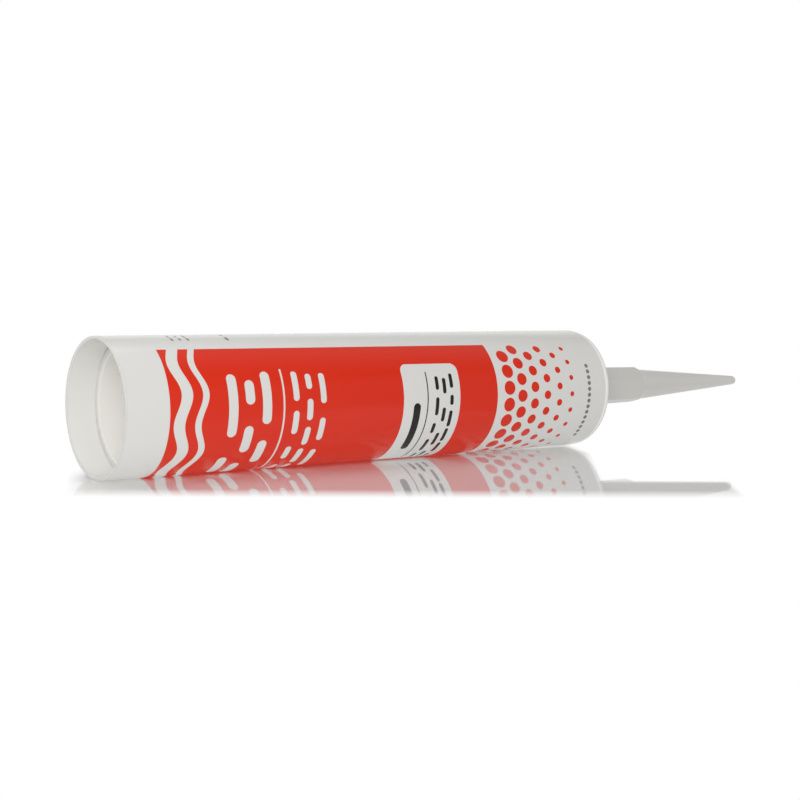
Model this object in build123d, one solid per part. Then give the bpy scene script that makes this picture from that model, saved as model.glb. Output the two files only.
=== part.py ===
from build123d import *
import math
import os

# Caulk cartridge of the common 310 ml size, standing on its open rear rim.
# +Z runs along the axis to the nozzle's tip, and the origin is the centre of the rear rim.
# Lengths are in millimetres and angles in degrees.
# Round forms are turned from a half section of (radius, height) points.

# Barrel: one moulding of the tube, the coned head, the neck and the sealed nipple
barrel_diameter = 48.4
barrel_length = 216.0
barrel_wall = 1.2
rim_chamfer = 0.4
front_bevel_length = 1.8
front_bevel_drop = 0.3
front_edge_bevel = 0.4
head_wall = 2.0
head_rise = 4.0
shoulder_land = 2.3
seat_margin = 1.0
neck_radius = 5.2
neck_length = 22.0
neck_wall = 1.6
nipple_length = 6.0
nipple_tip_radius = 3.0
nipple_wall = 1.0

# Plunger: a cup, open to the rear, with a flared lip at each end that wipes the bore
plunger_inset = 10.5
plunger_length = 16.0
lip_clearance = 0.2
lip_taper = 3.0
skirt_gap = 1.0
skirt_wall = 1.5
web_thickness = 1.6

# Sealant: the filling, a hair smaller than the space that it fills
fill_clearance = 0.05
plunger_gap = 0.25

# Nozzle: a flange and a six-sided grip over the neck, then a long cone with a closed tip
nozzle_length = 101.8
seat_gap = 0.2
thread_height = 0.6
thread_clearance = 0.25
socket_clearance = 0.3
flange_overhang = 0.8
flange_thickness = 2.2
grip_sides = 6
grip_turn = 12.5
grip_length = 36.5
grip_wall = 1.4
grip_draft = 0.83
grip_edge_radius = 0.6
shoulder_angle = 23.5
cone_step = 0.39
cone_wall = 0.95
tip_radius = 1.85
tip_bevel = 0.6
tip_wall = 2.6

# Radii that the pieces share
barrel_radius = barrel_diameter / 2
bore_radius = barrel_radius - barrel_wall
shoulder_radius = bore_radius - shoulder_land
neck_bore_radius = neck_radius - neck_wall
nipple_base_radius = neck_bore_radius + nipple_wall
socket_radius = neck_radius + thread_height + thread_clearance
grip_flat = socket_radius + grip_wall
cone_base_radius = grip_flat - grip_length * math.tan(math.radians(grip_draft)) - cone_step
flange_radius = grip_flat / math.cos(math.pi / grip_sides) + flange_overhang
seat_radius = flange_radius + seat_margin

# Heights that the pieces share
head_inside = barrel_length - head_wall
seat_height = barrel_length + head_rise
seat_inside = seat_height - head_wall
neck_top = seat_height + neck_length
nipple_top = neck_top + nipple_length
plunger_front = plunger_inset + plunger_length
nozzle_base = seat_height + seat_gap
cone_base = nozzle_base + grip_length
nozzle_tip = nozzle_base + nozzle_length


def half_section(points, bevels=()):
    """Face of the half section, with (radius, height, size) corners bevelled."""
    section = make_face(Polyline(*points, close=True))
    for radius, height, size in bevels:
        section = chamfer(section.vertices().sort_by_distance((radius, height, 0))[0], size)
    return section


def turned(section):
    """Solid of a half section turned once round the axis."""
    return revolve(Plane.XZ * section, axis=Axis.Z)


def make_barrel():
    front_radius = barrel_radius - front_bevel_drop
    nipple_inside = nipple_top - nipple_wall
    outside = [
        (bore_radius, 0),
        (barrel_radius, 0),
        (barrel_radius, barrel_length - front_bevel_length),
        (front_radius, barrel_length),
        (shoulder_radius, barrel_length),
        (seat_radius, seat_height),
        (neck_radius, seat_height),
        (neck_radius, neck_top),
        (nipple_base_radius, neck_top),
        (nipple_tip_radius, nipple_top),
        (0, nipple_top),
    ]
    inside = [
        (0, nipple_inside),
        (nipple_tip_radius - nipple_wall, nipple_inside),
        (neck_bore_radius, neck_top),
        (neck_bore_radius, seat_inside),
        (seat_radius, seat_inside),
        (shoulder_radius, head_inside),
        (bore_radius, head_inside),
    ]
    bevels = [
        (bore_radius, 0, rim_chamfer),
        (front_radius, barrel_length, front_edge_bevel),
    ]
    return turned(half_section(outside + inside, bevels))


def make_plunger():
    lip_radius = bore_radius - lip_clearance
    skirt_radius = bore_radius - skirt_gap
    cup_radius = skirt_radius - skirt_wall
    web_rear = plunger_front - web_thickness
    points = [
        (0, plunger_front + head_rise),
        (seat_radius, plunger_front + head_rise),
        (shoulder_radius, plunger_front),
        (lip_radius, plunger_front),
        (skirt_radius, plunger_front - lip_taper),
        (skirt_radius, plunger_inset + lip_taper),
        (lip_radius, plunger_inset),
        (cup_radius, plunger_inset),
        (cup_radius, web_rear),
        (seat_radius, web_rear + head_rise),
        (0, web_rear + head_rise),
    ]
    return turned(half_section(points))


def make_sealant():
    fill_radius = bore_radius - fill_clearance
    throat_radius = neck_bore_radius - fill_clearance
    rear = plunger_front + plunger_gap
    front = head_inside - fill_clearance
    points = [
        (0, rear + head_rise),
        (seat_radius, rear + head_rise),
        (shoulder_radius, rear),
        (fill_radius, rear),
        (fill_radius, front),
        (shoulder_radius, front),
        (seat_radius, front + head_rise),
        (throat_radius, front + head_rise),
        (throat_radius, neck_top),
        (0, neck_top),
    ]
    return turned(half_section(points))


def make_grip():
    """Six-sided taper whose corners run out under a cone, as a bolt's head is chamfered."""
    outline = RegularPolygon(grip_flat, grip_sides, major_radius=False, rotation=grip_turn)
    sides = extrude(Plane.XY.offset(nozzle_base) * outline, grip_length, taper=grip_draft)
    corners = sides.edges().filter_by(lambda edge: edge.length > grip_length / 2)
    sides = fillet(corners, grip_edge_radius)
    shoulder_drop = (flange_radius - cone_base_radius) / math.tan(math.radians(shoulder_angle))
    shoulder = [
        (0, nozzle_base),
        (flange_radius, nozzle_base),
        (flange_radius, cone_base - shoulder_drop),
        (cone_base_radius, cone_base),
        (0, cone_base),
    ]
    return sides & turned(half_section(shoulder))


def make_nozzle():
    flange_top = nozzle_base + flange_thickness
    flange = [(0, nozzle_base), (flange_radius, nozzle_base), (flange_radius, flange_top), (0, flange_top)]
    cone = [(0, cone_base), (cone_base_radius, cone_base), (tip_radius, nozzle_tip), (0, nozzle_tip)]
    bore_end = nozzle_tip - tip_wall
    bore = [
        (0, nozzle_base),
        (socket_radius, nozzle_base),
        (socket_radius, nipple_top + socket_clearance),
        (tip_radius - cone_wall, bore_end),
        (0, bore_end),
    ]
    outside = turned(half_section(flange)) + make_grip()
    outside += turned(half_section(cone, [(tip_radius, nozzle_tip, tip_bevel)]))
    return outside - turned(half_section(bore))


os.makedirs("parts", exist_ok=True)
export_step(make_barrel(), "parts/barrel.step")
export_step(make_plunger(), "parts/plunger.step")
export_step(make_sealant(), "parts/sealant.step")
export_step(make_nozzle(), "parts/nozzle.step")
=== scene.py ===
# %% [markdown]
# # A caulk cartridge
#
# The cartridge stands on its open rear rim in the frame, with +Z running to the nozzle's tip.
# The picture shows it lying down, so the camera is turned with it further below.

# %% Load the frame
import math

import bmesh
import bpy
from mathutils import Matrix, Vector


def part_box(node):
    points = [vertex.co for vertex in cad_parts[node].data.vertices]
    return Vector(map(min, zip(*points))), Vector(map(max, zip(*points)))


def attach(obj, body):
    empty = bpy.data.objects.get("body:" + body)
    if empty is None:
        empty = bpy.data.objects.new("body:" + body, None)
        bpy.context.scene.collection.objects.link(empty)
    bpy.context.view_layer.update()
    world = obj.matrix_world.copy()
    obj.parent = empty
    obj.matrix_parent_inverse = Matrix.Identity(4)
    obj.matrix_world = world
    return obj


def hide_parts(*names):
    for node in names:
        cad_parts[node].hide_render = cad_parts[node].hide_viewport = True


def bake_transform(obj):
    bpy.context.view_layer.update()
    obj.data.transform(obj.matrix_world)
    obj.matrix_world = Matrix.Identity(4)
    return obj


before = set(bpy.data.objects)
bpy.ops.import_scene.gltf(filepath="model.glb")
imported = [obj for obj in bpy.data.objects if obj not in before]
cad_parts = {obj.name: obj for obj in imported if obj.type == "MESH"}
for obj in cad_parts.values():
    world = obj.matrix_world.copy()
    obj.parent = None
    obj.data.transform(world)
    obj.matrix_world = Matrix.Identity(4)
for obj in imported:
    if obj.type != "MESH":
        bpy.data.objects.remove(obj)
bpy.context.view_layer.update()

MM = 0.001

# %% [markdown]
# ## The lying view
#
# In the picture the barrel lies on a table with its rear end to the left and near the lens. A lying
# frame makes that easy to write down: x runs along the axis to the nozzle, y away from the lens and z
# up from the table. Standing the cartridge up turns lying x into Z and lying up into -X, so one matrix
# carries any point or direction from the lying frame to the model's own. The camera's place and turn
# were fitted to the barrel's outline, its two end ellipses and the nozzle.

# %% Camera
BARREL_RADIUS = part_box("barrel")[1].x / MM
LYING = Matrix(((0, 0, -MM, BARREL_RADIUS * MM), (0, MM, 0, 0), (MM, 0, 0, 0), (0, 0, 0, 1)))
CAMERA_PLACE = Vector((-195.5, -432.2, 67.75))
CAMERA_YAW = math.radians(36.70)
CAMERA_PITCH = math.radians(-4.83)
CAMERA_ROLL = math.radians(0.88)
CAMERA_LENS = 62.97
CAMERA_SENSOR = 36.0
CAMERA_CLIP = 0.01


def lying_direction(x, y, z):
    """Unit vector of the model's frame for a direction of the lying frame."""
    return (LYING.to_3x3() @ Vector((x, y, z))).normalized()


def camera_axes():
    """Right, up and forward of the camera, in the lying frame."""
    forward = Vector((
        math.sin(CAMERA_YAW) * math.cos(CAMERA_PITCH),
        math.cos(CAMERA_YAW) * math.cos(CAMERA_PITCH),
        math.sin(CAMERA_PITCH),
    ))
    level = Vector((math.cos(CAMERA_YAW), -math.sin(CAMERA_YAW), 0))
    turn = Matrix.Rotation(-CAMERA_ROLL, 3, forward)
    right = turn @ level
    return right, right.cross(forward), forward


bpy.ops.object.select_all(action="DESELECT")
bpy.ops.object.camera_add()
camera = bpy.context.object
camera.name = "photo_camera"
camera.data.lens = CAMERA_LENS
camera.data.sensor_width = CAMERA_SENSOR
camera.data.clip_start = CAMERA_CLIP
right, up, forward = (lying_direction(*axis) for axis in camera_axes())
turned = Matrix((right, up, -forward)).transposed().to_4x4()
camera.matrix_world = Matrix.Translation(LYING @ CAMERA_PLACE) @ turned
bpy.context.scene.camera = camera
print("camera at", [round(v, 4) for v in camera.location])

# %% [markdown]
# ## Turning a piece on a lathe
#
# Nearly every form here is a moulding with one axis. The quick way would be to stack cylinders, but a
# lathe gives the true section: a plane is merged to a single point, the point is extruded from corner
# to corner of the half section, chosen corners are rounded with a vertex bevel, and the line is spun
# once round the axis. Merging the doubles closes the seam and the poles.

# %% Corners of a section
def tangent_length(before, corner, after, radius):
    """How far from a corner an arc of that radius starts."""
    turn = (corner - before).angle(after - corner)
    return radius * math.tan(turn / 2)


def select_corner(piece, radius, height):
    """Selects the one vertex of the half section at a radius and height, in mm."""
    mesh = bmesh.from_edit_mesh(piece.data)
    place = Vector((radius, 0, height)) * MM
    nearest = min(mesh.verts, key=lambda v: (v.co - place).length)
    for vertex in mesh.verts:
        vertex.select = vertex is nearest
    mesh.select_flush_mode()
    bmesh.update_edit_mesh(piece.data)


# %% Closing a piece
SMOOTH_ANGLE = math.radians(28)
SAME_PLACE = 1e-7


def close_up(smooth_angle=SMOOTH_ANGLE):
    """Merges doubled points of the active piece, turns its faces outward and smooths soft edges."""
    bpy.ops.object.mode_set(mode="EDIT")
    bpy.ops.mesh.select_all(action="SELECT")
    bpy.ops.mesh.remove_doubles(threshold=SAME_PLACE)
    bpy.ops.mesh.normals_make_consistent(inside=False)
    if bmesh.from_edit_mesh(bpy.context.object.data).calc_volume(signed=True) < 0:
        bpy.ops.mesh.flip_normals()
    bpy.ops.object.mode_set(mode="OBJECT")
    bpy.ops.object.shade_smooth_by_angle(angle=smooth_angle)


# %% Lathe
SPIN_STEPS = 160
ROUNDING_SEGMENTS = 8


def lathe(name, corners, roundings=None):
    """A closed piece spun from (radius, height) corners in mm; roundings gives corners a radius."""
    bpy.ops.object.select_all(action="DESELECT")
    bpy.ops.mesh.primitive_plane_add(size=MM)
    piece = bpy.context.object
    piece.name = piece.data.name = name
    bpy.ops.object.mode_set(mode="EDIT")
    bpy.ops.mesh.select_mode(type="VERT")
    bpy.ops.mesh.select_all(action="SELECT")
    bpy.ops.mesh.merge(type="CENTER")
    points = [Vector((radius, 0, height)) for radius, height in corners]
    bpy.ops.transform.translate(value=points[0] * MM)
    for before, after in zip(points, points[1:]):
        step = (after - before) * MM
        bpy.ops.mesh.extrude_region_move(TRANSFORM_OT_translate={"value": step})
    for corner, radius in (roundings or {}).items():
        place = corners.index(corner)
        reach = tangent_length(*points[place - 1:place + 2], radius)
        select_corner(piece, *corner)
        bpy.ops.mesh.bevel(offset=reach * MM, segments=ROUNDING_SEGMENTS, affect="VERTICES")
    bpy.ops.mesh.select_all(action="SELECT")
    bpy.ops.mesh.spin(steps=SPIN_STEPS, angle=math.tau, center=(0, 0, 0), axis=(0, 0, 1))
    bpy.ops.object.mode_set(mode="OBJECT")
    close_up()
    print(name, len(piece.data.polygons), "faces")
    return piece


# %% [markdown]
# ## Barrel
#
# The barrel is one white polyethylene moulding: a thin tube with a slight bevel at its front edge, a
# shallow coned head, a neck for the nozzle and a nipple that seals the neck until it is cut. It is
# drawn as one half section, so that the head, neck and tube have the real wall all the way through.
# The rim and the front edge are rounded a little, because no moulded edge is quite sharp.

# %% Barrel sizes
BARREL_LENGTH = 216.0
BARREL_WALL = 1.2
RIM_CHAMFER = 0.4
RIM_EDGE_RADIUS = 0.25
FRONT_BEVEL_LENGTH = 1.8
FRONT_BEVEL_DROP = 0.3
FRONT_BEVEL_RADIUS = 6.0
FRONT_EDGE_RADIUS = 0.6
HEAD_WALL = 2.0
HEAD_RISE = 4.0
HEAD_CORNER_RADIUS = 0.4
SHOULDER_LAND = 2.3
SHOULDER_BLEND_RADIUS = 3.0
SEAT_RADIUS = 10.4
NECK_RADIUS = 5.2
NECK_LENGTH = 22.0
NECK_WALL = 1.6
NECK_ROOT_RADIUS = 0.8
NECK_EDGE_RADIUS = 0.4
NIPPLE_TIP_RADIUS = 3.0
NIPPLE_WALL = 1.0
NIPPLE_EDGE_RADIUS = 0.8

bore_radius = BARREL_RADIUS - BARREL_WALL
front_radius = BARREL_RADIUS - FRONT_BEVEL_DROP
front_bevel_start = BARREL_LENGTH - FRONT_BEVEL_LENGTH
shoulder_radius = bore_radius - SHOULDER_LAND
head_inside = BARREL_LENGTH - HEAD_WALL
seat_height = BARREL_LENGTH + HEAD_RISE
seat_inside = seat_height - HEAD_WALL
neck_top = seat_height + NECK_LENGTH
neck_bore_radius = NECK_RADIUS - NECK_WALL
nipple_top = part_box("barrel")[1].z / MM
nipple_inside = nipple_top - NIPPLE_WALL
print("bore", round(bore_radius, 2), "mm in radius, neck to", round(neck_top, 2), "mm")

# %% Barrel
barrel = lathe(
    "barrel_moulding",
    [
        (0, nipple_inside),
        (NIPPLE_TIP_RADIUS - NIPPLE_WALL, nipple_inside),
        (neck_bore_radius, neck_top),
        (neck_bore_radius, seat_inside),
        (SEAT_RADIUS, seat_inside),
        (shoulder_radius, head_inside),
        (bore_radius, head_inside),
        (bore_radius, RIM_CHAMFER),
        (bore_radius + RIM_CHAMFER, 0),
        (BARREL_RADIUS, 0),
        (BARREL_RADIUS, front_bevel_start),
        (front_radius, BARREL_LENGTH),
        (shoulder_radius, BARREL_LENGTH),
        (SEAT_RADIUS, seat_height),
        (NECK_RADIUS, seat_height),
        (NECK_RADIUS, neck_top),
        (neck_bore_radius + NIPPLE_WALL, neck_top),
        (NIPPLE_TIP_RADIUS, nipple_top),
        (0, nipple_top),
    ],
    {
        (bore_radius, head_inside): HEAD_CORNER_RADIUS,
        (BARREL_RADIUS, 0): RIM_EDGE_RADIUS,
        (BARREL_RADIUS, front_bevel_start): FRONT_BEVEL_RADIUS,
        (front_radius, BARREL_LENGTH): FRONT_EDGE_RADIUS,
        (shoulder_radius, BARREL_LENGTH): SHOULDER_BLEND_RADIUS,
        (NECK_RADIUS, seat_height): NECK_ROOT_RADIUS,
        (NECK_RADIUS, neck_top): NECK_EDGE_RADIUS,
        (NIPPLE_TIP_RADIUS, nipple_top): NIPPLE_EDGE_RADIUS,
    },
)
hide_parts("barrel")
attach(barrel, "barrel")

# %% [markdown]
# ## Thread on the neck
#
# The nozzle screws on a coarse thread. The solids leave it out, so it is made here. Stacked rings would
# do from afar, but they have no slope and no ends. So a small trapezoid is carried round the neck by a
# Screw modifier, and both ends are pressed back into the neck, where the thread runs out softly.

# %% Thread section and ends
THREAD_HEIGHT = 0.6
THREAD_ROOT = 1.5
THREAD_CREST = 0.7
THREAD_PITCH = 3.0
THREAD_TURNS = 5
THREAD_START = 3.4
THREAD_STEPS = 72
THREAD_SINK = 0.2
RUN_OUT_TURNS = 0.35
RUN_OUT_REST = 0.05

thread_start = seat_height + THREAD_START


def thread_section():
    """The outline of the thread's trapezoid, beside the neck."""
    bpy.ops.object.select_all(action="DESELECT")
    bpy.ops.mesh.primitive_plane_add(size=MM)
    thread = bpy.context.object
    thread.name = thread.data.name = "neck_thread"
    bpy.ops.object.mode_set(mode="EDIT")
    section = bmesh.from_edit_mesh(thread.data)
    for vertex in section.verts:
        outside = vertex.co.x > 0
        width = THREAD_CREST if outside else THREAD_ROOT
        side = math.copysign(width / 2, vertex.co.y)
        radius = NECK_RADIUS + (THREAD_HEIGHT if outside else -THREAD_SINK)
        vertex.co = Vector((radius, 0, thread_start + side)) * MM
    bmesh.update_edit_mesh(thread.data)
    bpy.ops.mesh.select_all(action="SELECT")
    bpy.ops.mesh.delete(type="ONLY_FACE")
    bpy.ops.object.mode_set(mode="OBJECT")
    return thread


def press_ends(thread):
    """Lowers the first and last part of a turn into the neck."""
    root = NECK_RADIUS - THREAD_SINK
    for vertex in thread.data.vertices:
        radius = math.hypot(vertex.co.x, vertex.co.y) / MM
        place = (vertex.co.z / MM - thread_start) / THREAD_PITCH
        inward = min(place, THREAD_TURNS - place) / RUN_OUT_TURNS
        lowered = root + (radius - root) * min(1, max(RUN_OUT_REST, inward))
        vertex.co.x *= lowered / radius
        vertex.co.y *= lowered / radius


def cap_ends():
    """Closes the two open ends of the active piece."""
    bpy.ops.object.mode_set(mode="EDIT")
    bpy.ops.mesh.select_all(action="SELECT")
    bpy.ops.mesh.remove_doubles(threshold=SAME_PLACE)
    bpy.ops.mesh.select_all(action="DESELECT")
    bpy.ops.mesh.select_non_manifold()
    bpy.ops.mesh.edge_face_add()
    bpy.ops.object.mode_set(mode="OBJECT")


# %% Thread
thread = thread_section()
screw = thread.modifiers.new("turns", "SCREW")
screw.angle = math.tau
screw.screw_offset = THREAD_PITCH * MM
screw.iterations = THREAD_TURNS
screw.steps = screw.render_steps = THREAD_STEPS
bpy.ops.object.modifier_apply(modifier="turns")
press_ends(thread)
cap_ends()
close_up()
print("thread", len(thread.data.polygons), "faces")
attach(thread, "barrel")

# %% [markdown]
# ## Plunger
#
# The plunger is a cup, open to the rear, with a flared lip at each end that wipes the bore. Its front has
# the cone of the head, so that it empties the barrel when it gets there. A cylinder with an inset face
# would give the cup, but the lathe gives the lips and the coned web as well. Only the rear lip and the
# far side of the cup show in the picture, but the whole piece is turned.

# %% Plunger
PLUNGER_LENGTH = 16.0
LIP_CLEARANCE = 0.2
LIP_TAPER = 3.0
LIP_EDGE_RADIUS = 0.4
REAR_LIP_EDGE_RADIUS = 0.1
SKIRT_GAP = 1.0
SKIRT_WALL = 1.5
MOUTH_CHAMFER = 0.5
WEB_THICKNESS = 1.6
WEB_CORNER_RADIUS = 1.5

plunger_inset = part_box("plunger")[0].z / MM
plunger_front = plunger_inset + PLUNGER_LENGTH
lip_radius = bore_radius - LIP_CLEARANCE
skirt_radius = bore_radius - SKIRT_GAP
cup_radius = skirt_radius - SKIRT_WALL
web_rear = plunger_front - WEB_THICKNESS

plunger = lathe(
    "plunger_cup",
    [
        (0, plunger_front + HEAD_RISE),
        (SEAT_RADIUS, plunger_front + HEAD_RISE),
        (shoulder_radius, plunger_front),
        (lip_radius, plunger_front),
        (skirt_radius, plunger_front - LIP_TAPER),
        (skirt_radius, plunger_inset + LIP_TAPER),
        (lip_radius, plunger_inset),
        (cup_radius + MOUTH_CHAMFER, plunger_inset),
        (cup_radius, plunger_inset + MOUTH_CHAMFER),
        (cup_radius, web_rear),
        (SEAT_RADIUS, web_rear + HEAD_RISE),
        (0, web_rear + HEAD_RISE),
    ],
    {
        (lip_radius, plunger_front): LIP_EDGE_RADIUS,
        (lip_radius, plunger_inset): REAR_LIP_EDGE_RADIUS,
        (cup_radius, web_rear): WEB_CORNER_RADIUS,
    },
)
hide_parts("plunger")
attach(plunger, "plunger")

# %% [markdown]
# ## Sealant
#
# The paste fills the space between the plunger and the head. It is turned as one piece with a coned end
# at each side and no points in between.

# %% Sealant
FILL_CLEARANCE = 0.05
PLUNGER_GAP = 0.25

fill_radius = bore_radius - FILL_CLEARANCE
fill_rear = plunger_front + PLUNGER_GAP
fill_front = head_inside - FILL_CLEARANCE
throat_radius = neck_bore_radius - FILL_CLEARANCE

sealant = lathe(
    "sealant_fill",
    [
        (0, fill_rear + HEAD_RISE),
        (SEAT_RADIUS, fill_rear + HEAD_RISE),
        (shoulder_radius, fill_rear),
        (fill_radius, fill_rear),
        (fill_radius, fill_front),
        (shoulder_radius, fill_front),
        (SEAT_RADIUS, fill_front + HEAD_RISE),
        (throat_radius, fill_front + HEAD_RISE),
        (throat_radius, neck_top),
        (0, neck_top),
    ],
    {(fill_radius, fill_front): HEAD_CORNER_RADIUS},
)
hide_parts("sealant")
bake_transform(sealant)

# %% [markdown]
# ## Nozzle
#
# The nozzle is a grey cone on a six-sided grip that covers the neck. The corners of the grip run out
# under a steep shoulder, as on a bolt's head, and the tip is still closed. A lathe alone can't make the
# flats, and extruding a hexagon alone can't make the shoulder, so the two are crossed: a tall six-sided
# bar with rounded corners is cut to a turned outline, a turned flange is added, and a turned bore is
# taken out. The steps are Boolean modifiers, applied one after the other.

# %% Six-sided bar
GRIP_SIDES = 6
GRIP_FLAT = 7.45
GRIP_DRAFT = math.radians(0.83)
GRIP_TURN = math.radians(-17.5)
GRIP_EDGE_RADIUS = 0.6
GRIP_EDGE_SEGMENTS = 6
CUT_MARGIN = 1.0

nozzle_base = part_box("nozzle")[0].z / MM
nozzle_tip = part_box("nozzle")[1].z / MM


def corner_reach(height):
    """Distance from the axis to a corner of the grip at a height, in mm."""
    flat = GRIP_FLAT - (height - nozzle_base) * math.tan(GRIP_DRAFT)
    return flat / math.cos(math.pi / GRIP_SIDES)


def six_sided_bar(name):
    """A tall tapered bar with six sides and rounded corners."""
    low, high = nozzle_base - CUT_MARGIN, nozzle_tip + CUT_MARGIN
    bpy.ops.object.select_all(action="DESELECT")
    bpy.ops.mesh.primitive_cone_add(
        vertices=GRIP_SIDES,
        radius1=corner_reach(low) * MM,
        radius2=corner_reach(high) * MM,
        depth=(high - low) * MM,
        location=(0, 0, (low + high) / 2 * MM),
        rotation=(0, 0, GRIP_TURN),
    )
    bar = bpy.context.object
    bar.name = bar.data.name = name
    bpy.ops.object.transform_apply(location=True, rotation=True, scale=True)
    bpy.ops.object.mode_set(mode="EDIT")
    bpy.ops.mesh.select_mode(type="EDGE")
    bpy.ops.mesh.select_all(action="DESELECT")
    mesh = bmesh.from_edit_mesh(bar.data)
    for edge in mesh.edges:
        edge.select = abs(edge.verts[0].co.z - edge.verts[1].co.z) > MM
    mesh.select_flush_mode()
    bmesh.update_edit_mesh(bar.data)
    reach = GRIP_EDGE_RADIUS * math.tan(math.pi / GRIP_SIDES)
    bpy.ops.mesh.bevel(offset=reach * MM, segments=GRIP_EDGE_SEGMENTS, affect="EDGES")
    bpy.ops.object.mode_set(mode="OBJECT")
    print(name, len(bar.data.polygons), "faces")
    return bar


nozzle = six_sided_bar("nozzle_cone")

# %% Nozzle sizes
FLANGE_RADIUS = 9.4
FLANGE_THICKNESS = 2.2
FLANGE_EDGE_RADIUS = 0.5
FLANGE_OVERLAP = 0.6
GRIP_LENGTH = 36.5
SHOULDER_ANGLE = math.radians(23.5)
CONE_BASE_RADIUS = 6.53
CONE_BLEND_RADIUS = 3.0
TIP_RADIUS = 1.98
TIP_POINTS = 8
TIP_WALL = 2.6
BORE_END_RADIUS = 0.9
THREAD_CLEARANCE = 0.25
SOCKET_CLEARANCE = 0.3
SOCKET_LEAD = 0.4

flange_top = nozzle_base + FLANGE_THICKNESS
outline_base = nozzle_base + FLANGE_OVERLAP
cone_base = nozzle_base + GRIP_LENGTH
shoulder_base = cone_base - (FLANGE_RADIUS - CONE_BASE_RADIUS) / math.tan(SHOULDER_ANGLE)
socket_radius = NECK_RADIUS + THREAD_HEIGHT + THREAD_CLEARANCE
bore_base = nozzle_base - CUT_MARGIN
bore_end = nozzle_tip - TIP_WALL
tip_centre = nozzle_tip - TIP_RADIUS
tip_angles = [math.pi / 2 * step / TIP_POINTS for step in range(TIP_POINTS)]
tip_arc = [(TIP_RADIUS * math.cos(a), tip_centre + TIP_RADIUS * math.sin(a)) for a in tip_angles]
print("grip to", round(cone_base, 2), "mm, bore to", round(bore_end, 2), "mm")


# %% Crossing two pieces
def combine(piece, other, operation):
    """Crosses the piece with another one, which is used up."""
    bpy.ops.object.select_all(action="DESELECT")
    bpy.context.view_layer.objects.active = piece
    piece.select_set(True)
    step = piece.modifiers.new("step", "BOOLEAN")
    step.operation = operation
    step.solver = "EXACT"
    step.object = other
    bpy.ops.object.modifier_apply(modifier="step")
    bpy.data.objects.remove(other)
    print(piece.name, operation.lower(), len(piece.data.polygons), "faces")


# %% Nozzle outline, flange and bore
outline = lathe(
    "nozzle_outline",
    [
        (0, outline_base),
        (FLANGE_RADIUS, outline_base),
        (FLANGE_RADIUS, shoulder_base),
        (CONE_BASE_RADIUS, cone_base),
        *tip_arc,
        (0, nozzle_tip),
    ],
    {(CONE_BASE_RADIUS, cone_base): CONE_BLEND_RADIUS},
)
flange = lathe(
    "nozzle_flange",
    [
        (0, nozzle_base),
        (FLANGE_RADIUS, nozzle_base),
        (FLANGE_RADIUS, flange_top),
        (0, flange_top),
    ],
    {
        (FLANGE_RADIUS, nozzle_base): FLANGE_EDGE_RADIUS,
        (FLANGE_RADIUS, flange_top): FLANGE_EDGE_RADIUS,
    },
)
bore = lathe(
    "nozzle_bore",
    [
        (0, bore_base),
        (socket_radius + SOCKET_LEAD + CUT_MARGIN, bore_base),
        (socket_radius, nozzle_base + SOCKET_LEAD),
        (socket_radius, nipple_top + SOCKET_CLEARANCE),
        (BORE_END_RADIUS, bore_end),
        (0, bore_end),
    ],
)

# %% Nozzle
GRIP_SMOOTH_ANGLE = math.radians(15)
combine(nozzle, outline, "INTERSECT")
combine(nozzle, flange, "UNION")
combine(nozzle, bore, "DIFFERENCE")
close_up(GRIP_SMOOTH_ANGLE)
weigh = nozzle.modifiers.new("flat_sides", "WEIGHTED_NORMAL")
weigh.keep_sharp = True
bpy.ops.object.modifier_apply(modifier="flat_sides")
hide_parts("nozzle")
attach(nozzle, "nozzle")

# %% [markdown]
# ## Shader sums
#
# Every finish below is worked out from a point's place on the piece. `Value` wraps one number socket,
# so that a sum such as `1 - mask` adds the Math node by itself, and `Sheet.node` adds any other node.
# A `Sheet` is any node tree, and a `Finish` is the sheet of one material.

# %% Numbers in a node tree
class Value:
    """A number in a node tree that takes part in Python sums."""

    def __init__(self, sheet, socket):
        self.sheet = sheet
        self.socket = socket

    def math(self, operation, *others):
        sockets = dict(enumerate((self, *others)))
        return self.sheet.node("ShaderNodeMath", {"operation": operation}, sockets)

    def __add__(self, other):
        return self.math("ADD", other)

    def __sub__(self, other):
        return self.math("SUBTRACT", other)

    def __rsub__(self, other):
        sockets = {0: other, 1: self}
        return self.sheet.node("ShaderNodeMath", {"operation": "SUBTRACT"}, sockets)

    def __mul__(self, other):
        return self.math("MULTIPLY", other)

    def __truediv__(self, other):
        return self.math("DIVIDE", other)

    def __abs__(self):
        return self.math("ABSOLUTE")

    def floor(self):
        return self.math("FLOOR")

    def fraction(self):
        return self.math("FRACT")

    def most(self, other):
        return self.math("MAXIMUM", other)

    def clamped(self):
        return self.math("MAXIMUM", 0.0).math("MINIMUM", 1.0)

    def ramp(self, low, high):
        """0 at one limit and 1 at the other, with a straight run between them."""
        return ((self - low) / (high - low)).clamped()


def length(first, second):
    """Length of a flat vector."""
    return (first * first + second * second).math("SQRT")


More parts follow.
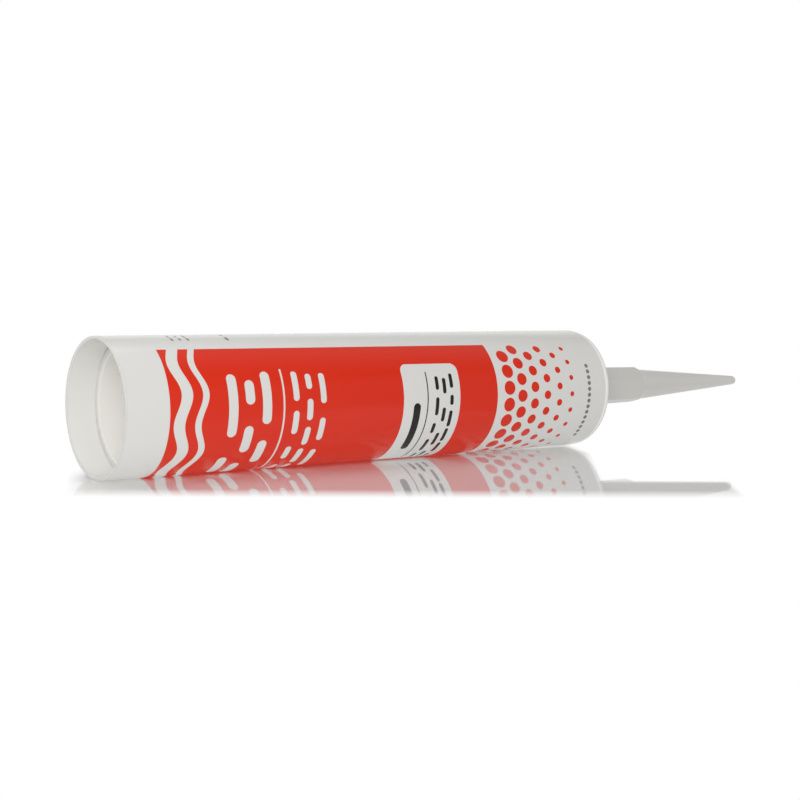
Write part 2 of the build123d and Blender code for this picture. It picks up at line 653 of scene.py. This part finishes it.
# %% Node sheets
class Sheet:
    """A node tree and the one method that adds nodes to it."""

    def __init__(self, tree):
        self.tree = tree

    def node(self, kind, settings=None, sockets=None, output=0):
        made = self.tree.nodes.new(kind)
        for key, value in (settings or {}).items():
            setattr(made, key, value)
        for key, value in (sockets or {}).items():
            self.feed(made.inputs[key], value)
        return Value(self, made.outputs[output])

    def feed(self, target, value):
        if isinstance(value, Value):
            self.tree.links.new(value.socket, target)
        else:
            target.default_value = value

    def parts(self, vector):
        """The x, y and z of a vector."""
        split = self.node("ShaderNodeSeparateXYZ", sockets={0: vector}).socket.node
        return [Value(self, split.outputs[axis]) for axis in "XYZ"]

    def ray(self, kind):
        """1 for rays of that kind and 0 for others."""
        return self.node("ShaderNodeLightPath", output=f"Is {kind} Ray")

    def seen_directly(self):
        """1 for rays from the lens, from a mirror or through glass, and 0 for light that spreads."""
        return self.ray("Camera").most(self.ray("Glossy")).most(self.ray("Transmission"))

    def grey(self, level):
        """A colour without hue."""
        return self.node("ShaderNodeCombineColor", sockets={0: level, 1: level, 2: level})


# %% Finishes
class Finish(Sheet):
    """A material for one finish."""

    def __init__(self, name):
        self.material = bpy.data.materials.new(name)
        self.material.use_nodes = True
        super().__init__(self.material.node_tree)
        self.shader = self.tree.nodes["Principled BSDF"]
        self.spot = self.node("ShaderNodeTexCoord", output="Object")

    def set(self, **values):
        for key, value in values.items():
            self.feed(self.shader.inputs[key.replace("_", " ")], value)

    def place(self):
        """The point's own x, y and z on the piece, in mm."""
        return [part / MM for part in self.parts(self.spot)]

    def noise(self, across, along, detail=2.0):
        """Smooth chance from -1 to 1, with so many swings to a mm across the axis and along it."""
        rate = {0: self.spot, 1: (across / MM, across / MM, along / MM)}
        stretched = self.node("ShaderNodeVectorMath", {"operation": "MULTIPLY"}, rate)
        sockets = {"Vector": stretched, "Scale": 1.0, "Detail": detail}
        return self.node("ShaderNodeTexNoise", sockets=sockets) * 2.0 - 1.0

    def chance(self, count):
        """A number from 0 to 1 that belongs to a count."""
        return self.node("ShaderNodeTexWhiteNoise", {"noise_dimensions": "1D"}, {"W": count})

    def mix(self, share, first, second):
        """A colour between two colours."""
        sockets = {"Factor": share, 6: first, 7: second}
        return self.node("ShaderNodeMix", {"data_type": "RGBA"}, sockets, output=2)

    def show(self, shader):
        """Puts another shader in place of the plain one."""
        self.feed(self.tree.nodes["Material Output"].inputs["Surface"], shader)


# %% Colours
def colour(red, green, blue):
    """A colour written as in a paint program, 0 to 255, as the linear values a shader takes."""
    parts = [part / 255 for part in (red, green, blue)]
    linear = [p / 12.92 if p <= 0.04045 else ((p + 0.055) / 1.055) ** 2.4 for p in parts]
    return (*linear, 1.0)


# %% [markdown]
# ## Moulded plastic
#
# Plain plastic isn't quite even. Its colour clouds a little, its gloss changes from place to place, the
# wall is a trace wavy, the tool leaves fine lines along the axis, and there is a grain that only shows
# close up. Each piece could have its own noise, but one function gives all of that in strengths that
# suit the piece, so that the pieces belong together. The heights are real ones in mm, because the bump
# takes them at that size.

# %% Moulded plastic
CLOUD = (0.05, 0.02)
WAVE = (0.03, 0.02)
LINES = (1.6, 0.01)
GRAIN = (4.0, 4.0)
GLOSS = (0.12, 0.03)
WAVE_HEIGHT = 0.015
LINE_HEIGHT = 0.0012
GRAIN_HEIGHT = 0.0010
CLOUD_DEPTH = 0.5
GLOSS_SWING = 0.035


def clouded(finish, paint, shade):
    """The paint with faint clouds of a slightly different shade."""
    return finish.mix(finish.noise(*CLOUD) * CLOUD_DEPTH + CLOUD_DEPTH, paint, shade)


def moulded(finish, base, roughness, relief=0.0, texture=1.0):
    """Sets colour, gloss and surface of a moulded piece; relief is any further height in mm."""
    fine = finish.noise(*GRAIN) * GRAIN_HEIGHT + finish.noise(*LINES) * LINE_HEIGHT
    height = finish.noise(*WAVE, detail=0.0) * WAVE_HEIGHT + fine * texture + relief
    bump = finish.node("ShaderNodeBump", sockets={"Distance": 1.0, "Height": height * MM})
    gloss = finish.noise(*GLOSS) * GLOSS_SWING + roughness
    finish.set(Base_Color=base, Roughness=gloss, Normal=bump)


# %% [markdown]
# ## Print on the barrel
#
# The print is ink on the bare plastic: a red field with wavy bands, bars and a white panel on it, and
# dots of the same red that thin out toward the front. It carries no words, only shapes. An image could
# hold it, but shapes that are worked out stay sharp at any distance and need no file. A point's arc
# length round the barrel and its height give flat print coordinates, and each shape is a mask in them:
# the distance to a middle line or point, compared with a half width.

# %% Print shapes
EDGE_SOFTNESS = 0.12
SHORTEST_BAR = 0.4
BAR_GAP = 1.4


def inked(distance, reach):
    """1 within a reach, with a soft edge as wide as ink spreads."""
    return ((reach - distance) / EDGE_SOFTNESS + 0.5).clamped()


def span(value, low, high):
    """1 between two limits."""
    return inked(abs(value - (low + high) / 2), (high - low) / 2)


def rounded_box(around, along, box, corner):
    """A box of (low z, high z, low u, high u) with round corners."""
    low, high, first, last = box
    beside = (abs(around - (first + last) / 2) - ((last - first) / 2 - corner)).most(0.0)
    above = (abs(along - (low + high) / 2) - ((high - low) / 2 - corner)).most(0.0)
    return inked(length(beside, above), corner)


def bar_row(finish, around, along, row, seed):
    """Rounded bars of changing length in a row of (low z, high z, first u, pitch, count)."""
    low, high, first, pitch, count = row
    radius = (high - low) / 2
    place = (first - around) / pitch
    longest = pitch / 2 - radius * BAR_GAP
    share = finish.chance(place.floor() + seed) * (1 - SHORTEST_BAR) + SHORTEST_BAR
    half = share * longest
    beside = (abs(place.fraction() - 0.5) * pitch - half).most(0.0)
    bars = inked(length(beside, along - (low + high) / 2), radius)
    return bars * span(around, first - pitch * count, first)


def wavy_band(around, along, middle, width, swing, wave):
    """A band round the barrel whose height swings up and down."""
    line = (around * (math.tau / wave)).math("SINE") * swing + middle
    return inked(abs(along - line), width / 2)


def thinning_dots(around, along, box, pitch, widest, least):
    """Staggered rows of whole dots in a (low z, high z, low u, high u) box, smaller at its high z."""
    low, high, first, last = box
    row = ((along - low) / pitch).floor()
    column = (around / pitch + row * 0.5).floor()
    middle = (column - row * 0.5 + 0.5) * pitch
    above = ((along - low) / pitch).fraction() - 0.5
    reach = (row * pitch).ramp(high - low, 0) * (widest - least) + least
    dots = inked(length(around - middle, above * pitch), reach)
    return dots * span(along, low, high) * span(middle, first, last)


# %% Print coordinates
FIELD = (15.5, 155.6, -62.0, 22.7)
PRINT_SKEW = 0.0055
OUTSIDE_DEPTH = 0.6

barrel_finish = Finish("barrel_print")
x, y, along = barrel_finish.place()
from_middle = (x * -1).math("ARCTAN2", y * -1) * BARREL_RADIUS
girth = math.tau * BARREL_RADIUS
askew = (along - FIELD[1]) * PRINT_SKEW
around = (from_middle + girth / 2).math("WRAP", girth, 0.0) - girth / 2 + askew
back = from_middle.math("WRAP", girth, 0.0)
outside = length(x, y).math("GREATER_THAN", BARREL_RADIUS - OUTSIDE_DEPTH)
print("girth", round(girth, 2), "mm")

# %% Red field and dots
FIELD_CORNER = 0.4
WAVES = ((20.6, 4.2), (27.6, 2.4))
WAVE_SWING = 1.5
WAVE_LENGTH = 21.0
FIELD_ROWS = (
    (37.4, 41.0, 13.5, 26.0, 2),
    (44.0, 47.6, 13.5, 17.0, 3),
    (50.6, 54.2, 13.5, 21.0, 2),
    (63.0, 65.4, 13.2, 13.0, 4),
    (68.6, 71.0, 13.2, 10.0, 5),
    (74.2, 76.6, 13.2, 15.0, 3),
)
FIELD_SEED = 3.0
FIELD_SEED_STEP = 17.0
RULE = (58.8, 59.5, -44.0, 13.0)
PANEL = (110.5, 137.0, -36.0, 13.8)
PANEL_CORNER = 3.0
DOTS_BOX = (158.6, 198.2, -61.0, 20.5)
DOTS = (6.6, 2.75, 0.7)

bare = span(along, *RULE[:2]) * span(around, *RULE[2:])
for middle, width in WAVES:
    bare = bare.most(wavy_band(around, along, middle, width, WAVE_SWING, WAVE_LENGTH))
for count, row in enumerate(FIELD_ROWS):
    seed = count * FIELD_SEED_STEP + FIELD_SEED
    bare = bare.most(bar_row(barrel_finish, around, along, row, seed))
bare = bare.most(rounded_box(around, along, PANEL, PANEL_CORNER))
red_ink = rounded_box(around, along, FIELD, FIELD_CORNER) * (1 - bare)
red_ink = red_ink.most(thinning_dots(around, along, DOTS_BOX, *DOTS)) * outside
print("red field", [round(FIELD[1] - FIELD[0], 1), round(FIELD[3] - FIELD[2], 1)], "mm")

# %% Dark bars on the panel
PANEL_ROWS = (
    (115.2, 118.4, 10.5, 44.0, 1),
    (125.4, 127.0, 10.5, 8.8, 5),
    (128.8, 130.4, 10.5, 11.0, 4),
    (132.2, 133.8, 10.5, 7.3, 6),
)
PANEL_SEED = 101.0
PANEL_SEED_STEP = 29.0
PANEL_RULE = (121.4, 121.9, -33.0, 10.5)

dark_ink = span(along, *PANEL_RULE[:2]) * span(around, *PANEL_RULE[2:])
for count, row in enumerate(PANEL_ROWS):
    seed = count * PANEL_SEED_STEP + PANEL_SEED
    dark_ink = dark_ink.most(bar_row(barrel_finish, around, along, row, seed))
dark_ink = dark_ink * outside
print("panel", len(PANEL_ROWS), "rows")

# %% Grey marks and the back panel
FRONT_ROW = (203.6, 205.4, 12.5, 2.4, 14)
FRONT_SEED = 211.0
TOP_ROWS = (
    (24.0, 24.9, 34.6, 3.4, 2),
    (27.0, 27.9, 34.6, 3.4, 2),
    (30.0, 30.9, 34.6, 3.4, 2),
    (45.0, 46.2, 36.0, 4.2, 2),
)
TOP_SEED = 307.0
TOP_SEED_STEP = 31.0
BACK = (40.0, 150.0, 41.0, 84.0)
BACK_FRAME = 0.5
BACK_CORNER = 2.0
BACK_LINES = (46.0, 144.0)
BACK_PITCH = 3.6
BACK_ROW = (1.0, 2.6, 81.0, 8.0, 5)
BACK_SEED = 401.0
BACK_SEED_STEP = 7.0

grey_ink = bar_row(barrel_finish, around, along, FRONT_ROW, FRONT_SEED)
for count, row in enumerate(TOP_ROWS):
    seed = count * TOP_SEED_STEP + TOP_SEED
    grey_ink = grey_ink.most(bar_row(barrel_finish, around, along, row, seed))
back_line = ((along - BACK_LINES[0]) / BACK_PITCH).floor()
back_height = along - back_line * BACK_PITCH - BACK_LINES[0]
back_seed = back_line * BACK_SEED_STEP + BACK_SEED
back_bars = bar_row(barrel_finish, back, back_height, BACK_ROW, back_seed)
back_bars = back_bars * span(along, *BACK_LINES)
low, high, first, last = BACK
inner = (low + BACK_FRAME, high - BACK_FRAME, first + BACK_FRAME, last - BACK_FRAME)
frame_line = rounded_box(back, along, BACK, BACK_CORNER)
frame_line = frame_line * (1 - rounded_box(back, along, inner, BACK_CORNER - BACK_FRAME))
grey_ink = grey_ink.most(back_bars).most(frame_line) * outside
print("print nodes", len(barrel_finish.tree.nodes))

# %% [markdown]
# ## Barrel finish
#
# The white plastic has a soft gloss. Its colour also carries painted light and shade: the bore is
# painted paler as painted light for the light that comes through the thin wall, the cut rim is painted a
# little greyer as painted shade, and the front edge has a narrow painted highlight. The ink is glossier
# than the plastic and stands a few thousandths of a mm proud.

# %% Barrel finish
WHITE_PLASTIC = colour(226, 225, 221)
WHITE_CLOUD = colour(223, 222, 218)
# Painted light: the bore is lightened for light that comes through the thin wall.
BORE_PAINTED_LIGHT = colour(234, 233, 230)
# Painted shade: the cut rim, which faces the key light, is painted darker.
RIM_PAINTED_SHADE = colour(217, 216, 212)
RIM_SHADE_DEPTH = (0.7, 0.3)
# Painted highlight: a pale ring on the front bevel.
EDGE_PAINTED_HIGHLIGHT = colour(252, 251, 248)
EDGE_HIGHLIGHT_RISE = (213.4, 213.9)
EDGE_HIGHLIGHT_FALL = (215.2, 214.7)
RED_INK = colour(223, 51, 28)
RED_CLOUD = colour(220, 48, 27)
DARK_INK = colour(38, 36, 36)
GREY_INK = colour(128, 126, 124)
PLASTIC_ROUGHNESS = 0.19
INK_GLOSS = 0.04
INK_HEIGHT = 0.003

plastic = clouded(barrel_finish, WHITE_PLASTIC, WHITE_CLOUD)
# Painted light in the bore.
base = barrel_finish.mix(outside, BORE_PAINTED_LIGHT, plastic)
# Painted shade on the rim.
base = barrel_finish.mix(along.ramp(*RIM_SHADE_DEPTH), base, RIM_PAINTED_SHADE)
# Painted highlight on the front edge.
base = barrel_finish.mix(along.ramp(*EDGE_HIGHLIGHT_RISE) * along.ramp(*EDGE_HIGHLIGHT_FALL), base, EDGE_PAINTED_HIGHLIGHT)
base = barrel_finish.mix(red_ink, base, clouded(barrel_finish, RED_INK, RED_CLOUD))
base = barrel_finish.mix(grey_ink, base, GREY_INK)
base = barrel_finish.mix(dark_ink, base, DARK_INK)
all_ink = red_ink.most(grey_ink).most(dark_ink)
moulded(barrel_finish, base, PLASTIC_ROUGHNESS - all_ink * INK_GLOSS, all_ink * INK_HEIGHT)
barrel.data.materials.append(barrel_finish.material)

thread_finish = Finish("neck_plastic")
moulded(thread_finish, clouded(thread_finish, WHITE_PLASTIC, WHITE_CLOUD), PLASTIC_ROUGHNESS)
thread.data.materials.append(thread_finish.material)
print("barrel nodes", len(barrel_finish.tree.nodes))

# %% [markdown]
# ## Plunger, sealant and nozzle finishes
#
# The plunger is natural polyethylene, a touch warmer than the barrel and duller; its lip carries painted
# shade and its cup painted light, so the lip is greyer than the pale cup. The paste is smooth and wet.
# The nozzle is a grey with a satin skin, and the two halves of its mould leave a fine raised line down
# two opposite sides, which is a narrow ridge in the bump.

# %% Plunger finish
# Painted light: the cup is lightened to stand in for light inside the mouth.
CUP_PAINTED_LIGHT = colour(242, 241, 237)
CUP_PAINTED_LIGHT_CLOUD = colour(239, 237, 232)
# Painted shade: the lip, which faces the key light, is painted darker.
LIP_PAINTED_SHADE = colour(222, 221, 216)
LIP_SHADE_DEPTH = 0.1
PLUNGER_ROUGHNESS = 0.34

plunger_finish = Finish("plunger_natural")
x, y, z = plunger_finish.place()
cup = clouded(plunger_finish, CUP_PAINTED_LIGHT, CUP_PAINTED_LIGHT_CLOUD)
# Mask for the lip's painted shade.
lip = length(x, y).ramp(cup_radius + LIP_SHADE_DEPTH, cup_radius + 2 * LIP_SHADE_DEPTH)
# The lip's painted shade over the cup's painted light.
moulded(plunger_finish, plunger_finish.mix(lip, cup, LIP_PAINTED_SHADE), PLUNGER_ROUGHNESS)
plunger.data.materials.append(plunger_finish.material)
print("plunger nodes", len(plunger_finish.tree.nodes))

# %% Sealant finish
PASTE = colour(232, 231, 227)
PASTE_CLOUD = colour(228, 227, 222)
PASTE_ROUGHNESS = 0.26

sealant_finish = Finish("sealant_white")
moulded(sealant_finish, clouded(sealant_finish, PASTE, PASTE_CLOUD), PASTE_ROUGHNESS)
sealant.data.materials.append(sealant_finish.material)
print("sealant nodes", len(sealant_finish.tree.nodes))

# %% Nozzle finish
NOZZLE_PLASTIC = colour(210, 208, 203)
NOZZLE_CLOUD = colour(206, 204, 199)
NOZZLE_ROUGHNESS = 0.36
NOZZLE_TEXTURE = 2.0
SEAM_TURN = math.radians(12.5)
SEAM_HALF_WIDTH = 0.14
SEAM_HEIGHT = 0.02

nozzle_finish = Finish("nozzle_grey")
x, y, z = nozzle_finish.place()
beside = abs(x * math.sin(SEAM_TURN) - y * math.cos(SEAM_TURN))
seam = ((SEAM_HALF_WIDTH - beside) / SEAM_HALF_WIDTH).clamped()
nozzle_plastic = clouded(nozzle_finish, NOZZLE_PLASTIC, NOZZLE_CLOUD)
moulded(nozzle_finish, nozzle_plastic, NOZZLE_ROUGHNESS, seam * SEAM_HEIGHT, NOZZLE_TEXTURE)
nozzle.data.materials.append(nozzle_finish.material)
print("nozzle nodes", len(nozzle_finish.tree.nodes))

# %% [markdown]
# ## Table
#
# The cartridge lies on a glossy white table in front of a white backdrop. The barrel rests on its rear
# rim, so the table falls away by a trace toward the front. A plane is enough for it.

# %% Table
TABLE_SIZE = 4.0
TABLE_DROP = 0.6

table_tilt = TABLE_DROP / BARREL_LENGTH
bpy.ops.object.select_all(action="DESELECT")
bpy.ops.mesh.primitive_plane_add(size=TABLE_SIZE)
table = bpy.context.object
table.name = "table"
tilted = Matrix.Rotation(table_tilt - math.pi / 2, 4, "Y")
table.matrix_world = Matrix.Translation((BARREL_RADIUS * MM, 0, 0)) @ tilted
bpy.ops.object.transform_apply(location=True, rotation=True, scale=True)
print("table falls", TABLE_DROP, "mm")

# %% [markdown]
# ## Table finish
#
# Near the barrel the table shows a soft shadow and mirrors the print, and further out it is as white as
# the backdrop. One even paint couldn't do both, so masks on the floor part the zones: how near a point
# is, whether it lies in the shadow of the barrel or the nozzle, and whether it is in the narrow crevice
# under the barrel, where nothing is mirrored. Camera and mirror rays see that surface, and light that
# spreads meets a plain glow instead, which is a little weaker toward the nozzle. The table is
# see-through from behind, so that it hides nothing in a view from its other side.

# %% Table zones
FADE = (-36.0, -19.0)
FADE_SKEW = 0.1
TABLE_BACK = (35.0, 10.0)
TABLE_LEFT = (-150.0, -100.0)
TABLE_RIGHT = (300.0, 240.0)
SHADOW_RIGHT = (171.0, 168.0)
SHADOW_RIGHT_TURN = math.radians(41.2)
SHADOW_CURL = (-25.0, 0.0)
SHADOW_CURL_DEPTH = 7.0
SHADOW_LEFT = (-9.0, -2.0)
SHADOW_LEFT_TURN = math.radians(24.8)
NOZZLE_SHADOW = (5.0, -2.0)
NOZZLE_SHADOW_END = (215.5, 213.0)
CREVICE = (-4.0, 0.0)
CREVICE_END = (200.0, 180.0)

table_finish = Finish("table_white")
x, y, z = table_finish.place()


def across_floor(turn):
    """Distance to the right of a line that runs away over the floor, turned from lying y toward x."""
    return z * math.cos(turn) - y * math.sin(turn)


toward = z * math.sin(CAMERA_YAW) + y * math.cos(CAMERA_YAW)
depth = toward - across_floor(CAMERA_YAW) * FADE_SKEW
this_side = y.ramp(*TABLE_BACK) * z.ramp(*TABLE_LEFT) * z.ramp(*TABLE_RIGHT)
nearness = depth.ramp(*FADE) * this_side
sideways = across_floor(SHADOW_RIGHT_TURN) + y.ramp(*SHADOW_CURL) * SHADOW_CURL_DEPTH
beside_barrel = sideways.ramp(*SHADOW_RIGHT)
barrel_side = beside_barrel * across_floor(SHADOW_LEFT_TURN).ramp(*SHADOW_LEFT) * this_side
nozzle_side = sideways.ramp(*NOZZLE_SHADOW_END) * depth.ramp(*NOZZLE_SHADOW) * (1 - beside_barrel)
crevice = y.ramp(*CREVICE) * z.ramp(*CREVICE_END)
print("zone nodes", len(table_finish.tree.nodes))

# %% Table surface
TABLE_PAINT = (0.77, 0.77, 0.77, 1.0)
MIRROR_TINT = (1.0, 1.0, 1.0, 1.0)
MIRROR_SHARE = 0.48
MIRROR_ROUGHNESS = 0.03
TABLE_FRONT = (0.0, -45.0)
TABLE_FRONT_SHADE = 0.2
GLOW_REAR = 0.82
GLOW_FRONT = 0.69


def glowing(level):
    """Plain light of that level."""
    sockets = {"Color": table_finish.grey(level), "Strength": 1.0}
    return table_finish.node("ShaderNodeEmission", sockets=sockets)


def blended(share, first, second):
    """A surface between two surfaces."""
    return table_finish.node("ShaderNodeMixShader", sockets={0: share, 1: first, 2: second})


nearer = y.ramp(*TABLE_FRONT) * (1 - table_finish.ray("Camera"))
white = glowing(1 - nearer * (1 - TABLE_FRONT_SHADE))
paint = table_finish.node("ShaderNodeBsdfDiffuse", sockets={"Color": TABLE_PAINT})
polish = {"Color": MIRROR_TINT, "Roughness": MIRROR_ROUGHNESS}
mirror = table_finish.node("ShaderNodeBsdfGlossy", sockets=polish)
surface = blended(barrel_side + nozzle_side, white, paint)
polished = blended((1 - crevice) * MIRROR_SHARE, surface, mirror)
glow = glowing(z.ramp(0, BARREL_LENGTH) * (GLOW_FRONT - GLOW_REAR) + GLOW_REAR)
lit = blended(table_finish.seen_directly(), glow, blended(nearness, white, polished))
behind = table_finish.node("ShaderNodeNewGeometry", output="Backfacing")
clear = table_finish.node("ShaderNodeBsdfTransparent")
table_finish.show(blended(behind, lit, clear))
table.data.materials.append(table_finish.material)
print("table nodes", len(table_finish.tree.nodes))

# %% [markdown]
# ## Light
#
# The tent round the table gives soft light from all sides. Mirror rays see its white back wall, a
# slightly darker ceiling and a dark front, where the camera stands, and those three make the soft
# edges of the highlights. Three panels add direction: a key from the front left, a broad one above and
# a strip on the right. Mirror rays don't see the strip, because its image would burn out the barrel's
# upper edge.

# %% Tent
TENT_LIGHT = 0.27
CEILING = (0.42, 0.58)
CEILING_SHADE = 0.35
FRONT = (-0.05, -0.55)
FRONT_SHADE = 0.2
TENT_COLOUR = (1.0, 1.0, 1.0, 1.0)

bpy.context.scene.world = bpy.data.worlds.new("tent")
bpy.context.scene.world.use_nodes = True
tent = Sheet(bpy.context.scene.world.node_tree)
x, y, z = tent.parts(tent.node("ShaderNodeTexCoord", output="Generated"))
ceiling = (x * -1).ramp(*CEILING)
front = y.ramp(*FRONT)
backdrop = (1 - ceiling * (1 - CEILING_SHADE)) * (1 - front * (1 - FRONT_SHADE))
seen = tent.seen_directly()
strength = seen * backdrop.most(tent.ray("Camera")) + (1 - seen) * TENT_LIGHT
tent.feed(tent.tree.nodes["Background"].inputs["Strength"], strength)
tent.feed(tent.tree.nodes["Background"].inputs["Color"], TENT_COLOUR)
print("tent nodes", len(tent.tree.nodes))

# %% Light panels
# Lying place and target in mm, width and height in mm, light level, seen by mirror rays
PANELS = {
    "key_panel": ((-400, -600, 300), (60, 0, 24), (400, 400), 6.5, True),
    "overhead_panel": ((-60, 60, 420), (40, 0, 24), (400, 400), 1.48, True),
    "strip_panel": ((560, -190, 130), (216, -10, 24), (90, 300), 4.2, False),
}
for name, (place, target, size, level, mirrored) in PANELS.items():
    bpy.ops.object.select_all(action="DESELECT")
    bpy.ops.object.light_add(type="AREA")
    panel = bpy.context.object
    panel.name = name
    panel.data.shape = "RECTANGLE"
    panel.data.size, panel.data.size_y = (side * MM for side in size)
    panel.data.energy = math.pi * panel.data.size * panel.data.size_y * level
    panel.visible_camera = False
    panel.visible_glossy = mirrored
    forward = lying_direction(*(Vector(target) - Vector(place)))
    side = forward.cross(lying_direction(0, 0, 1)).normalized()
    turned = Matrix((side, side.cross(forward), -forward)).transposed().to_4x4()
    panel.matrix_world = Matrix.Translation(LYING @ Vector(place)) @ turned
    print(name, round(panel.data.energy, 3), "W")

bpy.context.scene.view_settings.view_transform = "Standard"
